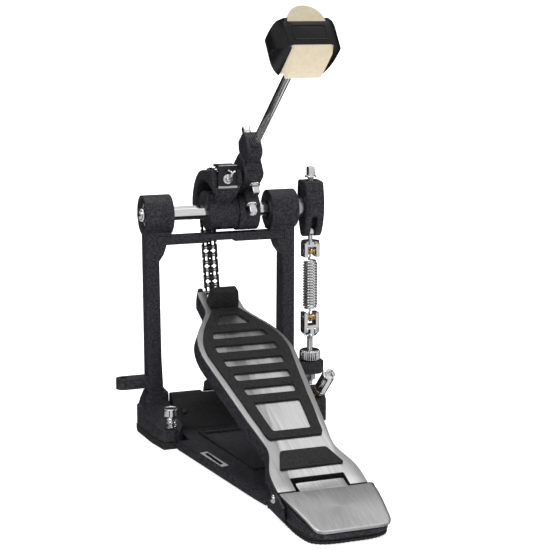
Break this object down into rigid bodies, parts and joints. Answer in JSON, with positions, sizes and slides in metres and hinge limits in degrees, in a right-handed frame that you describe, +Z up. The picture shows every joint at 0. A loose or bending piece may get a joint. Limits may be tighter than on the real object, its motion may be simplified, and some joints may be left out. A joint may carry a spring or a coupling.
{
  "type": "bass drum pedal",
  "caption": "Bass drum pedal: hinged footboard pulling a chain over a cam on a hex axle between two posts, with a felt beater, an extension spring and a hoop clamp.",
  "frame": {"origin": "on the floor, straight under the middle of the axle", "axes": "+X to the player's right along the axle, +Y towards the drum, +Z up"},
  "size_m": [0.1786, 0.3254, 0.3396],
  "materials": {
    "casting": "fine textured black powder coat on a die casting",
    "plate_black": "black powder coat on steel plate",
    "chrome": "polished chrome plate",
    "steel": "bright drawn steel",
    "aluminium": "brushed along the length of the board",
    "black_steel": "black oxide, oiled",
    "brass": "turned brass",
    "grip": "fine matt grip pad",
    "rubber": "black rubber",
    "head_plastic": "gloss black moulding",
    "felt": "pressed wool felt"
  },
  "bodies": {
    "frame": {"base_plate": "plate_black", "base_badge": "chrome", "base_bridge": "casting", "bridge_screw_left": "plate_black", "bridge_screw_right": "plate_black", "post_left": "casting", "post_right": "casting", "foot_pad": "rubber", "cross_brace": "plate_black", "clamp_jaw_pin": "steel", "bearing_left": "steel", "bearing_right": "steel", "spring_bracket": "casting", "heel_base": "casting", "heel_plate": "aluminium", "heel_pad": "rubber", "hinge_pin": "chrome"},
    "footboard": {"footboard": "casting", "footboard_plate": "aluminium", "grip_pad": "grip", "lower_grip_pad": "grip", "toe_stop": "rubber"},
    "axle": {"hex_axle": "chrome", "axle_end_cap": "chrome", "axle_spacer": "steel", "chain_cam": "casting", "cam_set_screw_a": "black_steel", "cam_set_screw_b": "black_steel", "chain_plate": "steel", "chain_plate_bolt": "chrome", "chain_wrap": "black_steel", "beater_hub": "casting", "spring_rocker": "casting", "rocker_pin": "steel"},
    "chain_span": {"chain_span": "black_steel"},
    "beater_shaft": {"beater_shaft": "steel"},
    "beater_head": {"beater_head_body": "head_plastic", "beater_felt": "felt"},
    "upper_link": {"upper_eye": "chrome", "upper_clevis": "chrome", "upper_roller": "brass", "upper_pin": "chrome"},
    "spring": {"spring": "chrome"},
    "tension": {"tension_rod": "steel", "lower_clevis": "chrome", "lower_roller": "brass", "lower_pin": "chrome"},
    "knurled_nut": {"knurled_nut": "chrome"},
    "lock_nut": {"lock_nut": "steel"},
    "beater_key_bolt": {"beater_key_bolt": "chrome"},
    "rocker_key_bolt": {"rocker_key_bolt": "chrome"},
    "hub_bolt_lower": {"hub_bolt_lower": "chrome"},
    "hub_bolt_upper": {"hub_bolt_upper": "chrome"},
    "spur_left": {"spur_left": "chrome"},
    "spur_right": {"spur_right": "chrome"},
    "clamp_jaw": {"clamp_jaw": "casting"},
    "clamp_knob": {"clamp_knob": "chrome", "clamp_knob_ring": "brass"},
    "clamp_screw": {"clamp_screw": "chrome"}
  },
  "joints": [
    {"name": "pedal_press", "type": "hinge", "parent": "frame", "child": "footboard", "pos_m": [0, -0.232, 0.0158], "axis": [-1, 0, 0], "range_deg": [0, 7.1], "stiffness_Nm_per_rad": 24, "springref_deg": -5.16},
    {"name": "axle_turn", "type": "hinge", "parent": "frame", "child": "axle", "pos_m": [0, 0, 0.176], "axis": [-1, 0, 0], "range_deg": [0, 52.6]},
    {"name": "chain_pull", "type": "slide", "parent": "frame", "child": "chain_span", "axis": [0, 0.2734, -0.9619], "range_m": [0, 0.0333]},
    {"name": "beater_height", "type": "slide", "parent": "axle", "child": "beater_shaft", "axis": [0, -0.7976, 0.6032], "range_m": [-0.015, 0.02]},
    {"name": "beater_head_turn", "type": "hinge", "parent": "beater_shaft", "child": "beater_head", "pos_m": [0.022, 0.01749, 0.19913], "axis": [0, -0.7976, 0.6032], "range_deg": [-180, 180]},
    {"name": "spring_link_swing", "type": "hinge", "parent": "axle", "child": "upper_link", "pos_m": [0.0795, 0, 0.156], "axis": [1, 0, 0], "range_deg": [0, 63.8]},
    {"name": "spring_stretch", "type": "slide", "parent": "upper_link", "child": "spring", "axis": [0, 0, -1], "range_m": [0, 0.0096], "deforming": ["spring"]},
    {"name": "spring_tension", "type": "slide", "parent": "frame", "child": "tension", "axis": [0, 0, 1], "range_m": [-0.003, 0.003]},
    {"name": "tension_nut_turn", "type": "hinge", "parent": "frame", "child": "knurled_nut", "pos_m": [0.0795, 0, 0.05], "axis": [0, 0, 1], "range_deg": [-180, 180]},
    {"name": "lock_nut_turn", "type": "hinge", "parent": "frame", "child": "lock_nut", "pos_m": [0.0795, 0, 0.031], "axis": [0, 0, 1], "range_deg": [-180, 180]},
    {"name": "beater_bolt_turn", "type": "hinge", "parent": "axle", "child": "beater_key_bolt", "pos_m": [0.022, -0.00788, 0.23687], "axis": [0, 0.6032, 0.7976], "range_deg": [-180, 180]},
    {"name": "rocker_bolt_turn", "type": "hinge", "parent": "axle", "child": "rocker_key_bolt", "pos_m": [0.0795, 0, 0.2], "axis": [0, 0, 1], "range_deg": [-180, 180]},
    {"name": "hub_bolt_lower_turn", "type": "hinge", "parent": "axle", "child": "hub_bolt_lower", "pos_m": [0.0224, -0.01595, 0.18242], "axis": [0, -0.6032, -0.7976], "range_deg": [-180, 180]},
    {"name": "hub_bolt_upper_turn", "type": "hinge", "parent": "axle", "child": "hub_bolt_upper", "pos_m": [0.0247, -0.01597, 0.19848], "axis": [0, -0.6032, -0.7976], "range_deg": [-180, 180]},
    {"name": "spur_left_travel", "type": "slide", "parent": "frame", "child": "spur_left", "axis": [0, 0, 1], "range_m": [-0.002, 0.006]},
    {"name": "spur_right_travel", "type": "slide", "parent": "frame", "child": "spur_right", "axis": [0, 0, 1], "range_m": [-0.002, 0.006]},
    {"name": "clamp_jaw_tilt", "type": "hinge", "parent": "frame", "child": "clamp_jaw", "pos_m": [0, -0.0092, 0.0274], "axis": [1, 0, 0], "range_deg": [0, 2.5]},
    {"name": "clamp_knob_turn", "type": "hinge", "parent": "frame", "child": "clamp_knob", "pos_m": [0.0712, -0.042, 0.0287], "axis": [0, -0.7349, 0.6782], "range_deg": [0, 360]},
    {"name": "clamp_screw_turn", "type": "hinge", "parent": "frame", "child": "clamp_screw", "pos_m": [0.006, 0.004, 0.025], "axis": [0, 0, 1], "range_deg": [-180, 180]}
  ],
  "couplings": [
    {"joint": "axle_turn", "follows": "pedal_press", "ratio": 7.4},
    {"joint": "chain_pull", "follows": "pedal_press", "m_per_rad": 0.2674},
    {"joint": "spring_link_swing", "follows": "pedal_press", "ratio": 8.95},
    {"joint": "spring_stretch", "follows": "pedal_press", "m_per_rad": 0.0758},
    {"joint": "clamp_jaw_tilt", "follows": "clamp_knob_turn", "ratio": 0.0069}
  ]
}
